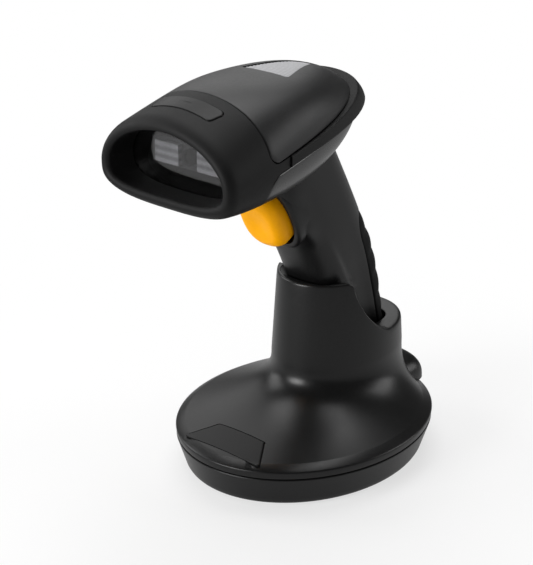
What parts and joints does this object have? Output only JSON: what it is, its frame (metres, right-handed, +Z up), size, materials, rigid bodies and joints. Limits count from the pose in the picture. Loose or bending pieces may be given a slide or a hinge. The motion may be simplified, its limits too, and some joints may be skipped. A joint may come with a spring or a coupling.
{
  "type": "handheld barcode scanner",
  "caption": "Cordless pistol-grip barcode scanner standing in an oval charging cradle, with a hooded nose, a sprung finger trigger and a ribbed battery cover.",
  "frame": {"origin": "on the table, under the middle of the whole object", "axes": "+Z up, the scanner looks along -Y, and X = 0 is the plane of symmetry"},
  "size_m": [0.11, 0.1559, 0.1864],
  "materials": {
    "satin_black": "satin black plastic",
    "textured_black": "finely textured matte black plastic",
    "soft_black": "matte black soft rubber",
    "badge_black": "glossy black plastic",
    "trigger_yellow": "satin orange-yellow plastic",
    "lens_grey": "ribbed light grey translucent plastic",
    "dark_window": "dark tinted clear window",
    "engine_grey": "dark grey plastic",
    "light_bar_grey": "light grey plastic",
    "board_green": "green circuit board",
    "cell_blue": "blue film sleeve",
    "steel": "plain steel",
    "brass": "plated contact metal",
    "foot_rubber": "matte black rubber"
  },
  "bodies": {
    "cradle": {"cradle_shell": "satin_black", "base_tray": "satin_black", "base_badge": "badge_black", "tray_screw_front_left": "steel", "tray_screw_front_right": "steel", "tray_screw_rear_left": "steel", "tray_screw_rear_right": "steel", "foot_front_left": "foot_rubber", "foot_front_right": "foot_rubber", "foot_rear_left": "foot_rubber", "foot_rear_right": "foot_rubber", "ballast": "steel", "cradle_board": "board_green", "cable_socket": "satin_black", "contact_block": "satin_black", "pin_barrel_left": "brass", "pin_barrel_right": "brass"},
    "scanner": {"nose_boot": "soft_black", "nose_badge": "badge_black", "top_housing": "textured_black", "status_lens": "lens_grey", "lower_housing": "satin_black", "rear_band": "soft_black", "head_screw_left": "steel", "head_screw_right": "steel", "scan_window": "dark_window", "engine_chassis": "engine_grey", "engine_lens": "badge_black", "light_bar_left": "light_bar_grey", "light_bar_right": "light_bar_grey", "main_board": "board_green", "beeper": "badge_black", "radio_module": "steel", "status_led": "light_bar_grey", "handle_shell": "satin_black", "battery_cover": "soft_black", "cover_screw": "steel", "end_cap": "satin_black", "charge_pad_left": "brass", "charge_pad_right": "brass", "battery": "cell_blue", "battery_contact_top": "steel", "battery_contact_bottom": "steel", "trigger_pin": "steel", "trigger_board": "board_green", "trigger_switch": "badge_black"},
    "trigger": {"trigger": "trigger_yellow"},
    "switch_plunger": {"switch_plunger": "soft_black"},
    "pin_plunger_left": {"pin_plunger_left": "brass"},
    "pin_plunger_right": {"pin_plunger_right": "brass"}
  },
  "joints": [
    {"name": "scanner_lift", "type": "slide", "parent": "cradle", "child": "scanner", "axis": [0, -0.284, 0.9588], "range_m": [0, 0.08]},
    {"name": "trigger_pull", "type": "hinge", "parent": "scanner", "child": "trigger", "pos_m": [0, -0.00592, 0.1375], "axis": [1, 0, 0], "range_deg": [0, 5.5], "stiffness_Nm_per_rad": 0.4, "springref_deg": -2.86},
    {"name": "switch_press", "type": "slide", "parent": "scanner", "child": "switch_plunger", "axis": [0, 0.8956, 0.4448], "range_m": [0, 0.0018]},
    {"name": "pin_press_left", "type": "slide", "parent": "cradle", "child": "pin_plunger_left", "axis": [0, 0.284, -0.9588], "range_m": [0, 0.0008], "stiffness_N_per_m": 600, "springref_m": -0.0005},
    {"name": "pin_press_right", "type": "slide", "parent": "cradle", "child": "pin_plunger_right", "axis": [0, 0.284, -0.9588], "range_m": [0, 0.0008], "stiffness_N_per_m": 600, "springref_m": -0.0005}
  ],
  "couplings": [
    {"joint": "switch_press", "follows": "trigger_pull", "m_per_rad": 0.0185}
  ]
}
